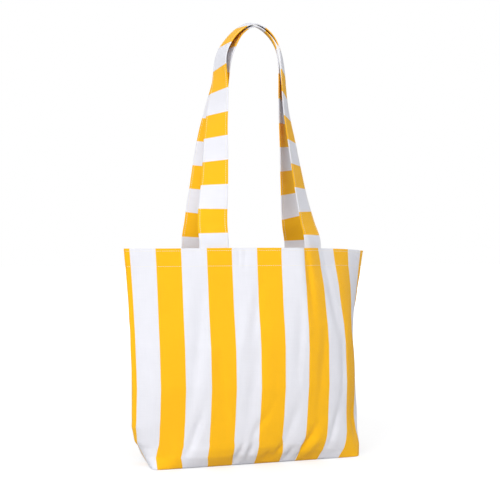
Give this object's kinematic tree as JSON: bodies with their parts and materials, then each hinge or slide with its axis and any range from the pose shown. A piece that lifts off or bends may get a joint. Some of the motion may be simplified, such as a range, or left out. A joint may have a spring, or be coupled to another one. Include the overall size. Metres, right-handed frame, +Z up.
{
  "type": "tote bag",
  "caption": "Striped canvas tote bag with a boxed bottom, a turned and stitched hem and a pair of flat shoulder handles; stands open and carries goods, hung from the hand or shoulder.",
  "frame": {"origin": "middle of the base, on the surface that the bag stands on", "axes": "+Z up through the open mouth, -Y towards the front panel, +X to the right of someone who looks at the front panel"},
  "size_m": [0.4068, 0.157, 0.6967],
  "materials": {
    "striped_canvas": "matte woven cotton canvas in wide yellow and white stripes",
    "striped_strap": "the same canvas folded into a flat strap, striped across its length",
    "seam_binding": "overlocked raw edges, matte",
    "thread": "matte sewing thread"
  },
  "bodies": {
    "bag": {"front_panel": "striped_canvas", "back_panel": "striped_canvas", "left_side_seam": "seam_binding", "right_side_seam": "seam_binding", "bottom_seam": "seam_binding", "left_corner_seam": "seam_binding", "right_corner_seam": "seam_binding", "rim_edge_stitching": "thread", "hem_stitching": "thread", "front_left_handle_end": "striped_strap", "front_left_handle_tack": "thread", "front_right_handle_end": "striped_strap", "front_right_handle_tack": "thread", "back_left_handle_end": "striped_strap", "back_left_handle_tack": "thread", "back_right_handle_end": "striped_strap", "back_right_handle_tack": "thread"},
    "front_handle": {"front_handle": "striped_strap", "front_handle_stitching": "thread"},
    "back_handle": {"back_handle": "striped_strap", "back_handle_stitching": "thread"}
  },
  "joints": [
    {"name": "front_handle_swing", "type": "hinge", "parent": "bag", "child": "front_handle", "pos_m": [0, -0.054, 0.329], "axis": [1, 0, 0], "range_deg": [0, 150]},
    {"name": "back_handle_swing", "type": "hinge", "parent": "bag", "child": "back_handle", "pos_m": [0, 0.044, 0.329], "axis": [-1, 0, 0], "range_deg": [0, 150]}
  ]
}
